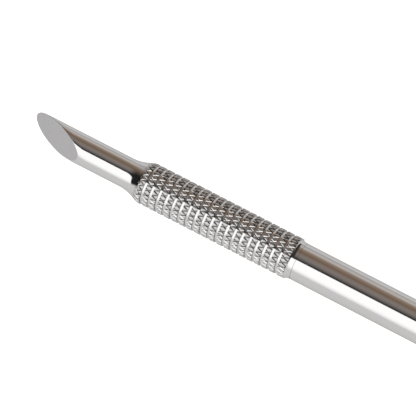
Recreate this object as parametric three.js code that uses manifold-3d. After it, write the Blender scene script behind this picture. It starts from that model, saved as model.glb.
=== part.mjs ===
// Double-ended cuticle pusher: a slim, round, polished-steel hand tool.
//
// Units are millimetres, +Z up. The tool lies on its two knurled grips with its axis along X:
// the slanted pusher face is at -X and the scraper blade is at +X. The origin is the middle of
// the tool's footprint, on the surface that it lies on.
//
// Five pieces are pressed together end to end:
//   slant_pusher_tip > front_grip_sleeve > handle_tube < rear_grip_sleeve < scraper_blade_tip
// Each end is built in a frame of its own, with x running from the end of the tool towards the
// middle of the handle and the tool's axis at y = z = 0.

import * as THREE from 'three';
import { mergeVertices } from 'three/addons/utils/BufferGeometryUtils.js';
import Module from 'manifold-3d';

const wasm = await Module();
wasm.setup();

// ---- Driving dimensions -----------------------------------------------------------------

const OVERALL_LENGTH = 130;
const SIDES = 24;                  // flats round every turned piece, one of them straight down

const NECK_RADIUS = 2.38;
const GRIP_RADIUS = 3.335;
const HANDLE_RADIUS = 3.0;
const TUBE_BORE_RADIUS = 2.12;

const FACE_ANGLE = 26.0;           // degrees between the slanted face and the axis
const FACE_ROLL = 61.0;            // degrees that both working faces turn from up, towards -Y

const NECK_LENGTH = 17.0;          // from the sharp tip to the start of the shoulder
const FLARE_LENGTH = 2.9;          // hollow part of the shoulder, on the tip
const FLARE_RISE = 0.69;
const NOSE_LENGTH = 1.12;          // rounded part of the shoulder, on the grip

const GROOVE_COUNT = 19;
const GROOVE_PITCH = 1.29;
const GROOVE_WIDTH = 0.43;
const GROOVE_DEPTH = 0.22;
const FIRST_GROOVE = 21.28;        // middle of the groove nearest the tip
const LAND_BEYOND_GROOVES = 1.42;  // from the middle of the last groove to the collar
const COLLAR_LENGTH = 0.92;        // hollow chamfer from the grip down to the handle

const TANG_RADIUS = 1.6;           // pressed into the grip
const TANG_LENGTH = 10;
const SPIGOT_RADIUS = 2.05;        // pressed into the handle tube
const SPIGOT_LENGTH = 8;
const LEAD_IN = 0.3;               // chamfer on the end of a tang or spigot
const RADIAL_CLEARANCE = 0.05;
const SEAM_GAP = 0.03;             // between the end faces of neighbouring pieces
const BOTTOM_CLEARANCE = 0.5;      // between a tang's end and the bottom of its bore

const BLADE_EDGE_THICKNESS = 0.35;
const BLADE_ROOT = 10.5;           // where the flat grinds run out on the neck
const BLADE_EDGE_ANGLE = 55;       // degrees between the scraping edge and the axis

// ---- Stations along one end, worked out from the driving dimensions ---------------------

const FLARE_END = NECK_LENGTH + FLARE_LENGTH;
const FLARE_RADIUS = NECK_RADIUS + FLARE_RISE;
const GRIP_START = FLARE_END + SEAM_GAP;
const CREST_START = FLARE_END + NOSE_LENGTH;
const LAST_GROOVE = FIRST_GROOVE + (GROOVE_COUNT - 1) * GROOVE_PITCH;
const CREST_END = LAST_GROOVE + LAND_BEYOND_GROOVES;
const GRIP_END = CREST_END + COLLAR_LENGTH;
const HANDLE_START = GRIP_END + SEAM_GAP;
const HANDLE_LENGTH = OVERALL_LENGTH - 2 * HANDLE_START;

// ---- Materials --------------------------------------------------------------------------

const polishedSteel = new THREE.MeshStandardMaterial({
  name: 'polished_steel', color: 0xc9c9cc, metalness: 1, roughness: 0.12,
});
const knurledSteel = new THREE.MeshStandardMaterial({
  name: 'knurled_steel', color: 0xbfbfc2, metalness: 1, roughness: 0.25,
});

// ---- Shape helpers ----------------------------------------------------------------------

/** Turns an outline of [x, radius] points about the X axis; its flats lie at the true radius. */
function turned(outline) {
  const cornerScale = 1 / Math.cos(Math.PI / SIDES);
  const points = outline.map(([x, radius]) => new THREE.Vector2(radius * cornerScale, x));
  const geometry = new THREE.LatheGeometry(points, SIDES, Math.PI / SIDES);
  return geometry.rotateZ(-Math.PI / 2);
}

/** [x, radius] points along a curve with one control point, both ends included. */
function arcPoints(start, control, end, steps) {
  const curve = new THREE.QuadraticBezierCurve(
    new THREE.Vector2(...start), new THREE.Vector2(...control), new THREE.Vector2(...end));
  return curve.getPoints(steps).map((point) => [point.x, point.y]);
}

/** Extrudes an outline of [x, z] points right across the tool, from -halfWidth to +halfWidth. */
function sideExtrusion(outline, halfWidth) {
  const shape = new THREE.Shape(outline.map(([x, z]) => new THREE.Vector2(x, z)));
  const geometry = new THREE.ExtrudeGeometry(shape, { depth: 2 * halfWidth, bevelEnabled: false });
  return geometry.rotateX(Math.PI / 2).translate(0, halfWidth, 0);
}

/** A closed geometry as a solid that can be cut. */
function solid(geometry) {
  const bare = geometry.clone();
  bare.deleteAttribute('normal');
  bare.deleteAttribute('uv');
  const merged = mergeVertices(bare, 1e-4);
  const corners = [];
  for (let i = 0; i < merged.index.count; i += 3) {
    const triangle = [0, 1, 2].map((k) => merged.index.getX(i + k));
    if (new Set(triangle).size === 3) corners.push(...triangle);
  }
  return new wasm.Manifold(new wasm.Mesh({
    numProp: 3,
    vertProperties: new Float32Array(merged.attributes.position.array),
    triVerts: new Uint32Array(corners),
  }));
}

/** The surface of a cut solid as a geometry. */
function surface(cutSolid) {
  const mesh = cutSolid.getMesh();
  const geometry = new THREE.BufferGeometry();
  geometry.setAttribute('position', new THREE.BufferAttribute(mesh.vertProperties, 3));
  geometry.setIndex(new THREE.BufferAttribute(mesh.triVerts, 1));
  return geometry.toNonIndexed();
}

function piece(name, geometry, material) {
  geometry.computeVertexNormals();
  const mesh = new THREE.Mesh(geometry, material);
  mesh.name = name;
  return mesh;
}

// ---- Pieces -----------------------------------------------------------------------------

/** Neck, flared shoulder and tang, solid through the middle and square across at x = 0. */
function tipBlank() {
  const flareControl = [NECK_LENGTH + FLARE_LENGTH / 2, NECK_RADIUS];
  const tangEnd = FLARE_END + TANG_LENGTH;
  return turned([
    [0, 0],
    [0, NECK_RADIUS],
    ...arcPoints([NECK_LENGTH, NECK_RADIUS], flareControl, [FLARE_END, FLARE_RADIUS], 4),
    [FLARE_END, TANG_RADIUS],
    [tangEnd - LEAD_IN, TANG_RADIUS],
    [tangEnd, TANG_RADIUS - LEAD_IN],
    [tangEnd, 0],
  ]);
}

/** Wedge that cuts the neck off at a slant, leaving a flat face that looks towards +Z. */
function slantCut(degreesToAxis) {
  const slope = Math.tan(THREE.MathUtils.degToRad(degreesToAxis));
  const reach = 2 * NECK_RADIUS;
  const middle = NECK_RADIUS / slope;
  return sideExtrusion([
    [middle - reach / slope, -reach],
    [middle + reach / slope, reach],
    [middle - reach / slope, reach],
  ], reach);
}

/** The pusher: its neck ends in one slanted flat oval face. */
function slantPusherTip() {
  const tip = solid(tipBlank()).subtract(solid(slantCut(FACE_ANGLE)));
  return piece('slant_pusher_tip', surface(tip), polishedSteel);
}

/** The scraper: its neck is ground from two sides to a thin blade, then cut at an angle. */
function scraperBladeTip() {
  const halfEdge = BLADE_EDGE_THICKNESS / 2;
  const grindControl = [BLADE_ROOT * 0.55, halfEdge * 2];
  const grindRoot = [BLADE_ROOT, NECK_RADIUS * 1.05];
  const grindCurve = arcPoints([-1, halfEdge], grindControl, grindRoot, 7);
  const upperGrind = sideExtrusion([...grindCurve, [-1, 2 * NECK_RADIUS]], 2 * NECK_RADIUS);
  const lowerGrind = upperGrind.clone().rotateX(Math.PI);
  const edgeCut = slantCut(BLADE_EDGE_ANGLE).rotateX(Math.PI / 2);
  const blade = solid(tipBlank())
    .subtract(solid(upperGrind))
    .subtract(solid(lowerGrind))
    .subtract(solid(edgeCut));
  return piece('scraper_blade_tip', surface(blade), polishedSteel);
}

/** Grip sleeve: rounded nose, ring grooves, hollow collar, blind bore and rear spigot. */
function gripSleeve(name) {
  const boreRadius = TANG_RADIUS + RADIAL_CLEARANCE;
  const boreEnd = FLARE_END + TANG_LENGTH + BOTTOM_CLEARANCE;
  const noseSlope = 2 * FLARE_RISE / FLARE_LENGTH;
  const noseControl = [CREST_START - NOSE_LENGTH / 2, GRIP_RADIUS];
  const nose = arcPoints([GRIP_START, GRIP_RADIUS - noseSlope * NOSE_LENGTH / 2],
    noseControl, [CREST_START, GRIP_RADIUS], 3);
  const grooves = [];
  for (let i = 0; i < GROOVE_COUNT; i += 1) {
    const middle = FIRST_GROOVE + i * GROOVE_PITCH;
    grooves.push([middle - GROOVE_WIDTH / 2, GRIP_RADIUS]);
    grooves.push([middle, GRIP_RADIUS - GROOVE_DEPTH]);
    grooves.push([middle + GROOVE_WIDTH / 2, GRIP_RADIUS]);
  }
  const collarControl = [CREST_END + COLLAR_LENGTH * 0.3, HANDLE_RADIUS + 0.05];
  const collar = arcPoints([CREST_END, GRIP_RADIUS], collarControl, [GRIP_END, HANDLE_RADIUS], 3);
  const spigotEnd = GRIP_END + SPIGOT_LENGTH;
  const sleeve = turned([
    [boreEnd, 0],
    [boreEnd, boreRadius],
    [GRIP_START, boreRadius],
    ...nose,
    ...grooves,
    ...collar,
    [GRIP_END, SPIGOT_RADIUS],
    [spigotEnd - LEAD_IN, SPIGOT_RADIUS],
    [spigotEnd, SPIGOT_RADIUS - LEAD_IN],
    [spigotEnd, 0],
  ]);
  return piece(name, sleeve, knurledSteel);
}

/** Thin-walled tube between the two grips, centred on x = 0. */
function handleTube() {
  const half = HANDLE_LENGTH / 2;
  const tube = turned([
    [-half, TUBE_BORE_RADIUS],
    [-half, HANDLE_RADIUS],
    [half, HANDLE_RADIUS],
    [half, TUBE_BORE_RADIUS],
    [-half, TUBE_BORE_RADIUS],
  ]);
  return piece('handle_tube', tube, polishedSteel);
}

// ---- Assembly ---------------------------------------------------------------------------

/** Both ends are the same but for the working tip, which is rolled about the axis. */
function toolEnd(tip, roll, grip) {
  const end = new THREE.Group();
  tip.rotation.x = roll;
  end.add(tip, grip);
  return end;
}

const faceRoll = THREE.MathUtils.degToRad(FACE_ROLL);

const frontEnd = toolEnd(slantPusherTip(), faceRoll, gripSleeve('front_grip_sleeve'));
frontEnd.position.set(-OVERALL_LENGTH / 2, 0, GRIP_RADIUS);

const rearEnd = toolEnd(scraperBladeTip(), -faceRoll, gripSleeve('rear_grip_sleeve'));
rearEnd.position.set(OVERALL_LENGTH / 2, 0, GRIP_RADIUS);
rearEnd.rotation.z = Math.PI;

const handle = handleTube();
handle.position.set(0, 0, GRIP_RADIUS);

const cuticlePusher = new THREE.Group();
cuticlePusher.add(frontEnd, handle, rearEnd);

export default cuticlePusher;
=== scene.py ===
"""Looks of a double-ended cuticle pusher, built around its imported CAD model.

Lengths are in metres, in the CAD model's frame: the tool lies along X on its two knurled grips,
with the slanted pusher face at -X, the scraper blade at +X and the floor at z = 0.

Every piece is a stack of rings of points. A ring is an array with one row for each point, and it
is first made in the frame of one end of the tool: x runs from the end towards the middle of the
handle, and the axis is at y = z = 0. place_front and place_rear then put it where the CAD has it.
"""

import math

import bmesh
import bpy
import numpy as np
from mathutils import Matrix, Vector


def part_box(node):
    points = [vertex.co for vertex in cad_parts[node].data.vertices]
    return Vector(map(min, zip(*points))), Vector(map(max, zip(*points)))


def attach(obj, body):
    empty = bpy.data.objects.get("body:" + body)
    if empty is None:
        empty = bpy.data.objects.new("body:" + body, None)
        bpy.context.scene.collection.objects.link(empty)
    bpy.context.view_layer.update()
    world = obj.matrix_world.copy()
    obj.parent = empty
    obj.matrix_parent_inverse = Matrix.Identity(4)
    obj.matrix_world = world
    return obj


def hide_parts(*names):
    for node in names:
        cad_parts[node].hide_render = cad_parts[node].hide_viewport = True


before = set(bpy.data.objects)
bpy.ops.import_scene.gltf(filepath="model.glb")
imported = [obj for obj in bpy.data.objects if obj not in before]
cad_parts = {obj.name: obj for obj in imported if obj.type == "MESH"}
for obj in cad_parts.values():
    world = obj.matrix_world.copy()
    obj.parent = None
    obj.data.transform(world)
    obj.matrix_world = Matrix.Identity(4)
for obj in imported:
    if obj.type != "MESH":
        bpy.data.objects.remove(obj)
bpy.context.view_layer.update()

MM = 0.001

# ---- Sizes taken from the CAD model -----------------------------------------------------

TIP_LOW, TIP_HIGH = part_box("slant_pusher_tip")
GRIP_LOW, GRIP_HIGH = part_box("front_grip_sleeve")
TUBE_LOW, TUBE_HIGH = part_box("handle_tube")
REAR_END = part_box("scraper_blade_tip")[1].x
FRONT_END = TIP_LOW.x

AXIS_HEIGHT = (GRIP_LOW.z + GRIP_HIGH.z) / 2
GRIP_RADIUS = (GRIP_HIGH.z - GRIP_LOW.z) / 2
HANDLE_RADIUS = (TUBE_HIGH.z - TUBE_LOW.z) / 2
GRIP_START = GRIP_LOW.x - FRONT_END
TANG_END = TIP_HIGH.x - FRONT_END
SPIGOT_END = GRIP_HIGH.x - FRONT_END
HANDLE_START = TUBE_LOW.x - FRONT_END
HANDLE_LENGTH = TUBE_HIGH.x - TUBE_LOW.x

# ---- Sizes of the details ---------------------------------------------------------------

SEAM_GAP = 0.03 * MM
CORNER_RADIUS = 0.02 * MM          # of the turned corners at the seams and on the hidden ends
NECK_RADIUS = 2.38 * MM
NECK_LENGTH = 17.0 * MM
FLARE_RISE = 0.69 * MM
FACE_ANGLE = math.radians(26.0)    # between the slanted face and the axis
FACE_ROLL = math.radians(61.0)     # how far both working faces turn from up, towards -Y
TANG_RADIUS = 1.6 * MM
SPIGOT_RADIUS = 2.05 * MM
TUBE_BORE_RADIUS = 2.12 * MM
BORE_RADIUS = 1.65 * MM
BOTTOM_CLEARANCE = 0.5 * MM
LEAD_IN = 0.3 * MM
CORE_RADIUS = 0.2 * MM             # last ring of a flat end, before its middle point

FLARE_END = GRIP_START - SEAM_GAP
FLARE_LENGTH = FLARE_END - NECK_LENGTH
FLARE_RADIUS = NECK_RADIUS + FLARE_RISE
NOSE_LENGTH = 1.12 * MM
CREST_START = FLARE_END + NOSE_LENGTH
GRIP_END = HANDLE_START - SEAM_GAP
COLLAR_LENGTH = 0.92 * MM
COLLAR_STEEPNESS = 0.1             # near 0, most of the collar's drop is right behind the crest
CREST_END = GRIP_END - COLLAR_LENGTH

GROOVE_COUNT = 19
GROOVE_PITCH = 1.29 * MM
FIRST_GROOVE = 21.28 * MM
GROOVE_DEPTH = 0.22 * MM
GROOVE_WALL = 0.05 * MM            # how far a groove's steep side leans

KNURL_STARTS = 24                  # helical grooves of each hand
KNURL_LEAD = GROOVE_PITCH * 4 / 3  # length of one diamond along the axis
KNURL_DEPTH = 0.15 * MM
KNURL_GROOVE_HALF = 1 / 6          # half the width of a helical groove, over their spacing
KNURL_CROWN = 0.45                 # share of the depth that is the doming of the crests
KNURL_STEPS = 6                    # mesh steps in half a diamond, along and around

KNURL_STEP = KNURL_LEAD / (2 * KNURL_STEPS)
CREST_EDGE = 1 + (math.sin(math.pi * KNURL_GROOVE_HALF) - 1) * KNURL_CROWN  # height of its rim
STEPS_PER_PITCH = 9                # mesh steps from one ring groove to the next
GROOVE_STEPS = 3                   # mesh steps across a ring groove
GROOVE_WIDTH = GROOVE_STEPS * KNURL_STEP
KNURL_ORIGIN = FIRST_GROOVE - GROOVE_WIDTH / 2

GRIP_SEGMENTS = 2 * KNURL_STEPS * KNURL_STARTS
TIP_SEGMENTS = 256
TUBE_SEGMENTS = 192
FLARE_STEPS = 24                   # mesh steps over the hollow flare
ROUND_STEPS = 16                   # mesh steps over the grip's nose, and over its collar
FIRST_RING = 1 * MM                # from the handle's end to the first ring of its closed outline
SHARP_EDGE = math.radians(35)

# ---- Sizes of the working ends ----------------------------------------------------------

PLAIN_NECK = 12 * MM               # both necks are plain round bar from here to the shoulder
FACE_MIDDLE = np.array([NECK_RADIUS / math.tan(FACE_ANGLE), 0, 0])
FACE_NORMAL = (
    -math.sin(FACE_ANGLE),
    -math.cos(FACE_ANGLE) * math.sin(FACE_ROLL),
    math.cos(FACE_ANGLE) * math.cos(FACE_ROLL),
)
FACE_SPREAD = math.cos(math.radians(5))    # mesh faces this close to the slanted face are ground
BLADE_SPREAD = math.cos(math.radians(40))  # and so are those this close to the blade's flat sides
EDGE_BLEND = 0.12 * MM             # width of the rounding of the face's edge, to each side of it
WALL_DROP = 0.07 * MM              # how much polishing has thinned the neck at the face's edge
WALL_DROP_REACH = 1.35 * MM        # and how far along the neck that can be seen
WALL_DROP_GROWTH = 1.5             # how fast it sets in with the height above the sharp point
EDGE_RINGS = 9                     # rings over the rounding of the face's edge
WALL_RINGS = 36                    # and along the neck behind it, close together near the edge
FIRST_WALL_SHARE = 0.02

BLADE_ROOT = 10.5 * MM
BLADE_EDGE_ANGLE = math.radians(55)
BLADE_HALF_THICKNESS = 0.175 * MM
BLADE_EDGE_HALF_THICKNESS = 0.04 * MM
BLADE_BEVEL_SLOPE = 0.16
BLADE_ROUNDING = 0.3               # of the long corners, as a share of the half thickness
BLADE_RINGS = 70                   # rings behind the scraping edge, close together near it
FIRST_BLADE_SHARE = 0.004
GRIND_STEPS = 60
BLADE_GRIND = [                    # [x, half thickness] control points of the hollow grinds
    (-1 * MM, BLADE_HALF_THICKNESS),
    (BLADE_ROOT * 0.55, 2 * BLADE_HALF_THICKNESS),
    (BLADE_ROOT, NECK_RADIUS * 1.05),
]

# ---- Steel ------------------------------------------------------------------------------

EDGE_TINT = (0.6, 0.6, 0.6)        # what is left of the steel's shine at a glancing angle
MARKS_SCALE = 900                  # polishing marks, and the clouds of slightly uneven colour
CLOUDS_SCALE = 160
CLOUDS_STRETCH = (0.4, 1, 1)
CLOUDS_CONTRAST = 0.04
MARKS_RANGE = (0.35, 0.7)          # the noise values that give the lowest and highest roughness

# ---- Camera -----------------------------------------------------------------------------

CAMERA_AZIMUTH = math.radians(29.6)
CAMERA_ELEVATION = math.radians(65.1)
CAMERA_DISTANCE = 0.66
CAMERA_LENS = 380                  # millimetres, over a sensor that is 36 wide
CAMERA_SENSOR = 36
AIM_ALONG = 30.7 * MM              # from the sharp tip to the point that the camera looks at
AIM_ACROSS = 0.87 * MM             # from the tool's axis to that point, up in the picture

# ---- Light ------------------------------------------------------------------------------

# Light by angle round the tool: 0 is level towards -Y, 90 is straight up, 180 level towards +Y.
# FAR_ROOM is what the room becomes far towards -X, and DARK what it becomes towards +X.
FLOOR_LIGHT = (1.0, 1.0, 1.0)
ROOM = [
    (-180, FLOOR_LIGHT),
    (0, FLOOR_LIGHT),
    (12, (0.03, 0.03, 0.03)),
    (72, (0.03, 0.03, 0.03)),
    (80, (0.17, 0.16, 0.15)),
    (86, (0.31, 0.28, 0.27)),
    (98, (0.48, 0.41, 0.37)),
    (112, (0.45, 0.37, 0.31)),
    (121, (0.35, 0.24, 0.18)),
    (130, (0.45, 0.32, 0.24)),
    (142, (0.55, 0.42, 0.32)),
    (147, (0.74, 0.63, 0.55)),
    (156, (1.11, 1.01, 0.95)),
    (168, (0.96, 0.92, 0.90)),
    (176, (0.76, 0.75, 0.75)),
    (180, (0.70, 0.70, 0.71)),
]
FAR_ROOM = [
    (-180, FLOOR_LIGHT),
    (0, FLOOR_LIGHT),
    (12, (0.03, 0.03, 0.03)),
    (88, (0.03, 0.03, 0.03)),
    (106, (0.15, 0.11, 0.09)),
    (125, (0.33, 0.24, 0.19)),
    (140, (0.50, 0.42, 0.36)),
    (152, (0.80, 0.74, 0.71)),
    (162, (0.90, 0.87, 0.86)),
    (180, (0.70, 0.70, 0.71)),
]
LAMP = [
    (-180, FLOOR_LIGHT),
    (-10, (1.18, 1.16, 1.22)),
    (0, (1.48, 1.46, 1.53)),
    (10, (2.0, 1.98, 2.04)),
    (22, (2.38, 2.38, 2.38)),
    (180, (2.38, 2.38, 2.38)),
]
LAMP_AROUND = (-30, 67.5)          # degrees round the tool from one edge of the lamp to the other
LAMP_ALONG = (-43, 60)             # degrees towards +X from one end of the lamp to the other
LAMP_CORNER = 20                   # degrees, radius of the lamp's corners
LAMP_SOFTNESS = 2                  # degrees over which its outline fades
FAR_END = (-24, -52)               # degrees towards -X over which the room becomes FAR_ROOM
DARK_END = (0, 14)                 # degrees towards +X over which the room gets dark
DARK = (0.08, 0.07, 0.065)
BACKDROP = (1.0, 1.0, 1.0)         # what the camera sees past the floor
FLOOR_COLOR = (0.4, 0.4, 0.4)
FLOOR_GLOW = 1.0
FLOOR_SIZE = 6


# ---- Rings and meshes -------------------------------------------------------------------

def ring(x, radius, segments):
    """Points of a circle about the axis; x and radius may each be one number or one per point."""
    angles = np.linspace(0, 2 * math.pi, segments, endpoint=False)
    x_values = np.broadcast_to(x, segments)
    return np.stack([x_values, radius * np.sin(angles), radius * np.cos(angles)], axis=1)


def curve(start, control, end, steps):
    """[x, radius] points along a curve with one control point, both ends included."""
    points = []
    for t in np.linspace(0, 1, steps + 1):
        weights = ((1 - t) ** 2, 2 * t * (1 - t), t ** 2)
        points.append(tuple(sum(w * p[k] for w, p in zip(weights, (start, control, end)))
                            for k in (0, 1)))
    return points


def rounded(outline, radius, steps=5):
    """An open [x, radius] outline with every inner corner turned into a small curve."""
    result = [outline[0]]
    for before, corner, after in zip(outline, outline[1:], outline[2:]):
        here = Vector(corner)
        to_before = Vector(before) - here
        to_after = Vector(after) - here
        reach = min(radius, to_before.length / 2, to_after.length / 2)
        start = here + to_before.normalized() * reach
        end = here + to_after.normalized() * reach
        result += curve(start, here, end, steps)
    result.append(outline[-1])
    return result


def place_front(points, roll):
    """From the frame of the front end to the row frame."""
    x, y, z = points.T
    turned_y = y * math.cos(roll) - z * math.sin(roll)
    turned_z = y * math.sin(roll) + z * math.cos(roll)
    return np.stack([FRONT_END + x, turned_y, AXIS_HEIGHT + turned_z], axis=1)


def place_rear(points, roll):
    """From the frame of the rear end to the row frame: the same, turned about the vertical."""
    x, y, z = place_front(points, -roll).T
    return np.stack([REAR_END - (x - FRONT_END), -y, z], axis=1)


def skin(rings, starts_on_axis=True, ends_on_axis=True, closes_on_itself=False, flipped=None):
    """Vertices and faces of a closed surface over a stack of rings.

    An end on the axis is closed by a fan about the middle of its ring. flipped(i, j) says which
    way the square after ring i and point j is split in two; without it, squares stay whole.
    """
    segments = len(rings[0])
    count = len(rings)
    vertices = [tuple(point) for points in rings for point in points]
    faces = []
    for i in range(count if closes_on_itself else count - 1):
        here = i * segments
        there = (i + 1) % count * segments
        for j in range(segments):
            k = (j + 1) % segments
            a, b, c, d = here + j, there + j, there + k, here + k
            if flipped is None:
                faces.append((a, b, c, d))
            elif flipped(i, j):
                faces += [(a, b, d), (b, c, d)]
            else:
                faces += [(a, b, c), (a, c, d)]
    for closed, row in ((starts_on_axis, 0), (ends_on_axis, count - 1)):
        if closed and not closes_on_itself:
            middle = len(vertices)
            vertices.append(tuple(rings[row].mean(axis=0)))
            first = row * segments
            faces += [(middle, first + j, first + (j + 1) % segments) for j in range(segments)]
    return vertices, faces


def make_piece(name, vertices, faces, materials):
    """A shaded object whose faces point outward; edges that turn sharply stay sharp."""
    mesh = bpy.data.meshes.new(name)
    mesh.from_pydata(vertices, [], faces)
    surface = bmesh.new()
    surface.from_mesh(mesh)
    bmesh.ops.recalc_face_normals(surface, faces=surface.faces)
    surface.to_mesh(mesh)
    surface.free()
    mesh.shade_smooth()
    mesh.set_sharp_from_angle(angle=SHARP_EDGE)
    for material in materials:
        mesh.materials.append(material)
    piece = bpy.data.objects.new(name, mesh)
    bpy.context.scene.collection.objects.link(piece)
    return piece


def stand_for(piece, node):
    """The piece replaces its CAD node and moves with the tool."""
    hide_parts(node)
    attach(piece, "root")


# ---- Working ends -----------------------------------------------------------------------

def shoulder_and_tang():
    """[x, radius] outline from the neck, over the hollow flare, to the end of the tang."""
    flare = curve((NECK_LENGTH, NECK_RADIUS), (NECK_LENGTH + FLARE_LENGTH / 2, NECK_RADIUS),
                  (FLARE_END, FLARE_RADIUS), FLARE_STEPS)
    tang = rounded([
        (FLARE_END, FLARE_RADIUS),
        (FLARE_END, TANG_RADIUS),
        (TANG_END - LEAD_IN, TANG_RADIUS),
        (TANG_END, TANG_RADIUS - LEAD_IN),
        (TANG_END, CORE_RADIUS),
    ], CORNER_RADIUS)
    return flare + tang[1:]


def soft_corner(first, second, width):
    """The larger of two distances, blended where they differ by less than the width."""
    overlap = np.maximum(width - np.abs(first - second), 0) / width
    return np.maximum(first, second) + overlap ** 2 * width / 4


def pusher_rings():
    """Rings from the slanted face, over its rounded edge and along the neck."""
    height = ring(0, 1, TIP_SEGMENTS)[:, 2]
    drop = WALL_DROP * np.clip(WALL_DROP_GROWTH * (1 + height), 0, 1)
    edge_x = (NECK_RADIUS + (NECK_RADIUS - drop) * height) / math.tan(FACE_ANGLE)

    def wall_ring(along):
        closeness = np.clip(1 - along / WALL_DROP_REACH, 0, 1)
        return ring(edge_x + along, NECK_RADIUS - drop * closeness ** 2, TIP_SEGMENTS)

    edge = wall_ring(0)
    inward = FACE_MIDDLE - edge
    inward /= np.linalg.norm(inward, axis=1)[:, None]
    face_side = edge + inward * EDGE_BLEND
    wall_side = wall_ring(EDGE_BLEND)
    rings = []
    for t in np.linspace(0, 1, EDGE_RINGS):
        rings.append((1 - t) ** 2 * face_side + 2 * t * (1 - t) * edge + t ** 2 * wall_side)
    for share in np.geomspace(FIRST_WALL_SHARE, 1, WALL_RINGS):
        rings.append(wall_ring(EDGE_BLEND + share * (PLAIN_NECK - edge_x - EDGE_BLEND)))
    return rings


def build_pusher_tip(polished, ground):
    """The slanted face is ground; the neck and shoulder are polished."""
    rings = pusher_rings()
    rings += [ring(x, radius, TIP_SEGMENTS) for x, radius in shoulder_and_tang()]
    vertices, faces = skin([place_front(points, FACE_ROLL) for points in rings])
    piece = make_piece("pusher_tip", vertices, faces, [polished, ground])
    face_normal = Vector(FACE_NORMAL)
    plain_neck_start = FRONT_END + PLAIN_NECK
    for polygon in piece.data.polygons:
        near_face = polygon.center.x < plain_neck_start
        if near_face and polygon.normal.dot(face_normal) > FACE_SPREAD:
            polygon.material_index = 1
    stand_for(piece, "slant_pusher_tip")


def blade_rings():
    """Rings from the slanted scraping edge to the round neck."""
    ground = np.array(curve(*BLADE_GRIND, GRIND_STEPS))
    blank = ring(0, NECK_RADIUS, TIP_SEGMENTS)
    across, height = blank[:, 1], blank[:, 2]
    edge_x = (NECK_RADIUS + across) / math.tan(BLADE_EDGE_ANGLE)
    rings = []
    for along in np.concatenate([[0], np.geomspace(FIRST_BLADE_SHARE, 1, BLADE_RINGS)]):
        x = edge_x + along * (PLAIN_NECK - edge_x)
        from_edge = (x - edge_x) * math.sin(BLADE_EDGE_ANGLE)
        bevel = BLADE_EDGE_HALF_THICKNESS + from_edge * BLADE_BEVEL_SLOPE
        thickness = np.minimum(np.interp(x, ground[:, 0], ground[:, 1]), bevel)
        kept = -soft_corner(-np.abs(height), -thickness, BLADE_ROUNDING * thickness)
        rings.append(np.stack([x, across, np.sign(height) * np.maximum(kept, 0)], axis=1))
    return rings


def edge_strip(count):
    """Faces that close the thin scraping edge, from each point of its ring to the one below."""
    half = count // 2
    faces = []
    for j in range(-(count // 4), count // 4):
        corners = [j % count, (j + 1) % count, (half - j - 1) % count, (half - j) % count]
        faces.append(tuple(dict.fromkeys(corners)))
    return faces


def build_scraper_tip(polished, ground):
    """The flat sides of the blade are ground; the rest is polished."""
    rings = blade_rings()
    rings += [ring(x, radius, TIP_SEGMENTS) for x, radius in shoulder_and_tang()]
    vertices, faces = skin([place_rear(points, FACE_ROLL) for points in rings],
                           starts_on_axis=False)
    faces += edge_strip(TIP_SEGMENTS)
    piece = make_piece("scraper_tip", vertices, faces, [polished, ground])
    blade_normal = Vector((0, -math.sin(FACE_ROLL), math.cos(FACE_ROLL)))
    blade_root = REAR_END - BLADE_ROOT
    for polygon in piece.data.polygons:
        on_blade = polygon.center.x > blade_root
        if on_blade and abs(polygon.normal.dot(blade_normal)) > BLADE_SPREAD:
            polygon.material_index = 1
    stand_for(piece, "scraper_blade_tip")


# ---- Grips ------------------------------------------------------------------------------

def nose_outline():
    """[x, radius] points over the rounded nose of the grip, up to its crest."""
    nose_slope = 2 * FLARE_RISE / FLARE_LENGTH
    return np.array(curve((GRIP_START, GRIP_RADIUS - nose_slope * NOSE_LENGTH / 2),
                          (CREST_START - NOSE_LENGTH / 2, GRIP_RADIUS),
                          (CREST_START, GRIP_RADIUS), ROUND_STEPS))


def collar_outline():
    """[x, radius] points over the hollow collar, from the grip's crest down to the handle."""
    return curve((CREST_END, GRIP_RADIUS),
                 (CREST_END + COLLAR_STEEPNESS * COLLAR_LENGTH, HANDLE_RADIUS),
                 (GRIP_END, HANDLE_RADIUS), ROUND_STEPS)


def knurl_height(x, angles):
    """0 at the bottom of the V-shaped helical grooves, 1 on top of the diamonds between them."""
    turn = KNURL_STARTS * angles / (2 * math.pi)
    advance = (x - KNURL_ORIGIN) / KNURL_LEAD

    def across_one_hand(position):
        from_groove = np.abs((position + 0.5) % 1 - 0.5)
        wall = np.minimum(from_groove / KNURL_GROOVE_HALF, 1)
        dome = np.sin(math.pi * from_groove)
        return wall + (dome - wall) * KNURL_CROWN

    return np.minimum(across_one_hand(turn + advance), across_one_hand(turn - advance))


def grip_stations():
    """x of each ring over the knurled crest and nose, with True on the floor of a ring groove."""
    first = math.ceil((GRIP_START - KNURL_ORIGIN) / KNURL_STEP)
    last = math.floor((CREST_END - KNURL_ORIGIN) / KNURL_STEP)
    stations = [(GRIP_START, False)]
    for k in range(first, last + 1):
        x = KNURL_ORIGIN + k * KNURL_STEP
        groove, step = divmod(k, STEPS_PER_PITCH)
        grooved = 0 <= groove < GROOVE_COUNT
        if grooved and step == 1:
            stations.append((x - KNURL_STEP + GROOVE_WALL, True))
        elif grooved and step == GROOVE_STEPS - 1:
            stations.append((x + KNURL_STEP - GROOVE_WALL, True))
        else:
            stations.append((x, False))
    return stations


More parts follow.
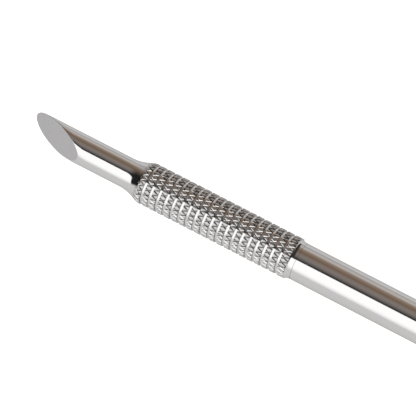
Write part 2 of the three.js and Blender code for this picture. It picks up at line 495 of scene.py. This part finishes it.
def grip_rings():
    """Rings from the bottom of the bore, out over the grip and down to the end of the spigot.

    With them comes the set of those rings that have a knurled strip after them.
    """
    bore_end = TANG_END + BOTTOM_CLEARANCE
    bore = rounded([
        (bore_end, CORE_RADIUS),
        (bore_end, BORE_RADIUS),
        (GRIP_START, BORE_RADIUS),
        (GRIP_START, FLARE_RADIUS),
    ], CORNER_RADIUS)
    spigot = rounded([
        (GRIP_END, HANDLE_RADIUS),
        (GRIP_END, SPIGOT_RADIUS),
        (SPIGOT_END - LEAD_IN, SPIGOT_RADIUS),
        (SPIGOT_END, SPIGOT_RADIUS - LEAD_IN),
        (SPIGOT_END, CORE_RADIUS),
    ], CORNER_RADIUS)
    nose = nose_outline()
    angles = np.linspace(0, 2 * math.pi, GRIP_SEGMENTS, endpoint=False)
    rings = [ring(x, radius, GRIP_SEGMENTS) for x, radius in bore[:-1]]
    knurled = set()
    for x, grooved in grip_stations():
        if grooved:
            rings.append(ring(x, GRIP_RADIUS - GROOVE_DEPTH, GRIP_SEGMENTS))
        else:
            blank = np.interp(x, nose[:, 0], nose[:, 1])
            cut = KNURL_DEPTH * (1 - knurl_height(x, angles))
            knurled.add(len(rings))
            rings.append(ring(x, np.minimum(blank, GRIP_RADIUS - cut), GRIP_SEGMENTS))
    rings += [ring(x, radius, GRIP_SEGMENTS) for x, radius in collar_outline() + spigot[1:]]
    return rings, knurled


def build_grip(name, node, place, groove, crest):
    """The helical and ring grooves are bright; the crests between them are duller."""
    rings, knurled = grip_rings()
    station = [points[0, 0] for points in rings]

    def flipped(i, j):
        """Squares are split along the helical groove that crosses them."""
        middle = (station[i] + station[i + 1]) / 2
        block = math.floor((middle - KNURL_ORIGIN) / (KNURL_STEPS * KNURL_STEP))
        return (block + j // KNURL_STEPS) % 2 == 1

    vertices, faces = skin(rings, flipped=flipped)
    corners = np.array(vertices)
    piece = make_piece(name, place(corners, 0), faces, [groove, crest])
    x, y, z = corners[np.array(faces)].mean(axis=1).T
    on_crest = knurl_height(x, np.arctan2(y, z)) > CREST_EDGE
    strip = np.arange(len(faces)) // (2 * GRIP_SEGMENTS)
    finish = (on_crest & np.isin(strip, list(knurled))).astype(np.int32)
    piece.data.polygons.foreach_set("material_index", finish)
    stand_for(piece, node)


# ---- Handle -----------------------------------------------------------------------------

def build_handle(polished):
    """A polished tube, open at both ends; its outline starts on the plain outside."""
    start, end = HANDLE_START, HANDLE_START + HANDLE_LENGTH
    outline = rounded([
        (start + FIRST_RING, HANDLE_RADIUS),
        (end, HANDLE_RADIUS),
        (end, TUBE_BORE_RADIUS),
        (start, TUBE_BORE_RADIUS),
        (start, HANDLE_RADIUS),
        (start + FIRST_RING, HANDLE_RADIUS),
    ], CORNER_RADIUS)
    rings = [place_front(ring(x, radius, TUBE_SEGMENTS), 0) for x, radius in outline[:-1]]
    vertices, faces = skin(rings, closes_on_itself=True)
    piece = make_piece("handle", vertices, faces, [polished])
    stand_for(piece, "handle_tube")


# ---- Materials --------------------------------------------------------------------------

def link_math(tree, operation, first, second):
    """A math node of two values, either of which may be a socket or a number."""
    node = tree.nodes.new("ShaderNodeMath")
    node.operation = operation
    for socket, value in zip(node.inputs, (first, second)):
        if isinstance(value, bpy.types.NodeSocket):
            tree.links.new(value, socket)
        else:
            socket.default_value = value
    return node.outputs[0]


def streaks(tree, scale, stretch, detail):
    """Noise with its own scale along x, y and z: a small one draws it out that way."""
    place = tree.nodes.new("ShaderNodeTexCoord")
    mapping = tree.nodes.new("ShaderNodeMapping")
    mapping.inputs["Scale"].default_value = stretch
    noise = tree.nodes.new("ShaderNodeTexNoise")
    noise.inputs["Scale"].default_value = scale
    noise.inputs["Detail"].default_value = detail
    tree.links.new(place.outputs["Object"], mapping.inputs["Vector"])
    tree.links.new(mapping.outputs["Vector"], noise.inputs["Vector"])
    return noise.outputs["Fac"]


def steel_material(name, color, roughness, stretch, scratch_depth):
    """Steel with fine marks of a given depth, whose stretch is (x, y, z) as in streaks.

    The color is (r, g, b) and the roughness (low, high).
    """
    material = bpy.data.materials.new(name)
    material.use_nodes = True
    tree = material.node_tree
    shader = tree.nodes["Principled BSDF"]
    shader.inputs["Metallic"].default_value = 1.0
    shader.inputs["Specular Tint"].default_value = (*EDGE_TINT, 1)

    marks = streaks(tree, MARKS_SCALE, stretch, 4)
    clouds = streaks(tree, CLOUDS_SCALE, CLOUDS_STRETCH, 2)
    tint = tree.nodes.new("ShaderNodeMix")
    tint.data_type = "RGBA"
    tint.inputs["A"].default_value = (*((1 - CLOUDS_CONTRAST) * c for c in color), 1)
    tint.inputs["B"].default_value = (*((1 + CLOUDS_CONTRAST) * c for c in color), 1)
    tree.links.new(clouds, tint.inputs["Factor"])
    tree.links.new(tint.outputs["Result"], shader.inputs["Base Color"])

    spread = tree.nodes.new("ShaderNodeMapRange")
    spread.inputs["From Min"].default_value = MARKS_RANGE[0]
    spread.inputs["From Max"].default_value = MARKS_RANGE[1]
    spread.inputs["To Min"].default_value = roughness[0]
    spread.inputs["To Max"].default_value = roughness[1]
    tree.links.new(marks, spread.inputs["Value"])
    tree.links.new(spread.outputs["Result"], shader.inputs["Roughness"])

    bump = tree.nodes.new("ShaderNodeBump")
    bump.inputs["Strength"].default_value = 1.0
    bump.inputs["Distance"].default_value = scratch_depth
    tree.links.new(marks, bump.inputs["Height"])
    tree.links.new(bump.outputs["Normal"], shader.inputs["Normal"])
    return material


def polished_steel():
    """Bright steel with fine marks that run along the tool."""
    return steel_material("polished_steel", (0.42, 0.416, 0.412), (0.05, 0.12),
                          (0.02, 1, 1), 0.0004 * MM)


def ground_steel():
    """Satin steel of the flat ground faces, with marks in no direction."""
    return steel_material("ground_face_steel", (0.33, 0.326, 0.332), (0.2, 0.3),
                          (1, 1, 1), 0.0006 * MM)


def groove_steel():
    """Bright steel in the grooves of the grips."""
    return steel_material("groove_steel", (0.42, 0.416, 0.412), (0.06, 0.1),
                          (4, 4, 4), 0.002 * MM)


def crest_steel():
    """Duller steel on the crests between those grooves."""
    return steel_material("knurl_crest_steel", (0.33, 0.327, 0.323), (0.30, 0.40),
                          (4, 4, 4), 0.004 * MM)


def floor_material():
    """A pale sheet lit from below, so that it stays white right up to the tool."""
    material = bpy.data.materials.new("pale_floor")
    material.use_nodes = True
    shader = material.node_tree.nodes["Principled BSDF"]
    shader.inputs["Base Color"].default_value = (*FLOOR_COLOR, 1)
    shader.inputs["Roughness"].default_value = 0.9
    shader.inputs["Specular IOR Level"].default_value = 0.0
    shader.inputs["Emission Color"].default_value = (1, 1, 1, 1)
    shader.inputs["Emission Strength"].default_value = FLOOR_GLOW
    return material


# ---- Studio -----------------------------------------------------------------------------

def ramp(tree, factor, stops):
    """Colours by angle: stops are (degrees from -180 to 180, (r, g, b))."""
    node = tree.nodes.new("ShaderNodeValToRGB")
    tree.links.new(factor, node.inputs["Fac"])
    elements = node.color_ramp.elements
    elements.remove(elements[-1])
    for index, (degrees, color) in enumerate(stops):
        position = (degrees + 180) / 360
        element = elements.new(position) if index else elements[0]
        element.position = position
        element.color = (*color, 1)
    return node.outputs["Color"]


def fade(tree, value, zero, one):
    """0 where the value is at or beyond the first of two limits, 1 at or beyond the second."""
    node = tree.nodes.new("ShaderNodeMapRange")
    node.interpolation_type = "SMOOTHSTEP"
    node.inputs["From Min"].default_value = zero
    node.inputs["From Max"].default_value = one
    tree.links.new(value, node.inputs["Value"])
    return node.outputs["Result"]


def lamp_mask(tree, around, along):
    """1 inside the lamp's outline, a rectangle with round corners, and 0 outside it."""
    beyond = []
    for angle, (low, high) in ((around, LAMP_AROUND), (along, LAMP_ALONG)):
        offset = link_math(tree, "SUBTRACT", angle, (low + high) / 2)
        distance = link_math(tree, "ABSOLUTE", offset, 0.0)
        inner = (high - low) / 2 - LAMP_CORNER
        excess = link_math(tree, "MAXIMUM", link_math(tree, "SUBTRACT", distance, inner), 0.0)
        beyond.append(link_math(tree, "POWER", excess, 2.0))
    distance = link_math(tree, "POWER", link_math(tree, "ADD", *beyond), 0.5)
    return fade(tree, distance, LAMP_CORNER + LAMP_SOFTNESS, LAMP_CORNER)


def mix_colors(tree, factor, first, second):
    """The first colour at factor 0 and the second at 1; each is a socket or (r, g, b)."""
    node = tree.nodes.new("ShaderNodeMix")
    node.data_type = "RGBA"
    for name, value in (("Factor", factor), ("A", first), ("B", second)):
        if isinstance(value, bpy.types.NodeSocket):
            tree.links.new(value, node.inputs[name])
        else:
            node.inputs[name].default_value = (*value, 1)
    return node.outputs["Result"]


def build_studio():
    """A room by direction, with one large soft lamp over the -Y side."""
    world = bpy.data.worlds.new("studio")
    world.use_nodes = True
    bpy.context.scene.world = world
    tree = world.node_tree

    place = tree.nodes.new("ShaderNodeTexCoord")
    parts = tree.nodes.new("ShaderNodeSeparateXYZ")
    tree.links.new(place.outputs["Generated"], parts.inputs["Vector"])
    x, y, z = parts.outputs
    toward = link_math(tree, "MULTIPLY", y, -1.0)
    around = link_math(tree, "MULTIPLY", link_math(tree, "ARCTAN2", z, toward), 180 / math.pi)
    along = link_math(tree, "MULTIPLY", link_math(tree, "ARCSINE", x, 0.0), 180 / math.pi)
    turn = link_math(tree, "ADD", link_math(tree, "MULTIPLY", around, 1 / 360), 0.5)

    room = mix_colors(tree, fade(tree, along, *FAR_END), ramp(tree, turn, ROOM),
                      ramp(tree, turn, FAR_ROOM))
    room = mix_colors(tree, fade(tree, along, *DARK_END), room, DARK)
    lit = mix_colors(tree, lamp_mask(tree, around, along), room, ramp(tree, turn, LAMP))
    ray = tree.nodes.new("ShaderNodeLightPath")
    seen = mix_colors(tree, ray.outputs["Is Camera Ray"], lit, BACKDROP)
    tree.links.new(seen, tree.nodes["Background"].inputs["Color"])


def build_floor():
    """A wide pale sheet that the tool lies on."""
    bpy.ops.mesh.primitive_plane_add(size=FLOOR_SIZE)
    floor = bpy.context.object
    floor.name = "floor"
    floor.data.materials.append(floor_material())


def build_camera():
    """A long lens that looks down on the pusher end, with the rest of the tool out of view."""
    back = Vector((
        math.sin(CAMERA_AZIMUTH) * math.cos(CAMERA_ELEVATION),
        -math.cos(CAMERA_AZIMUTH) * math.cos(CAMERA_ELEVATION),
        math.sin(CAMERA_ELEVATION),
    ))
    across = back.cross(Vector((1, 0, 0))).normalized()
    aim = Vector((FRONT_END + AIM_ALONG, 0, AXIS_HEIGHT)) + across * AIM_ACROSS
    data = bpy.data.cameras.new("camera")
    data.lens = CAMERA_LENS
    data.sensor_width = CAMERA_SENSOR
    camera = bpy.data.objects.new("camera", data)
    camera.location = aim + back * CAMERA_DISTANCE
    camera.rotation_euler = back.to_track_quat("Z", "Y").to_euler()
    bpy.context.scene.collection.objects.link(camera)
    bpy.context.scene.camera = camera
    bpy.context.scene.view_settings.view_transform = "Standard"


def main():
    """The camera, the studio and the five pieces."""
    build_camera()
    build_studio()
    build_floor()
    polished = polished_steel()
    ground = ground_steel()
    groove = groove_steel()
    crest = crest_steel()
    build_pusher_tip(polished, ground)
    build_scraper_tip(polished, ground)
    build_grip("front_grip", "front_grip_sleeve", place_front, groove, crest)
    build_grip("rear_grip", "rear_grip_sleeve", place_rear, groove, crest)
    build_handle(polished)


main()
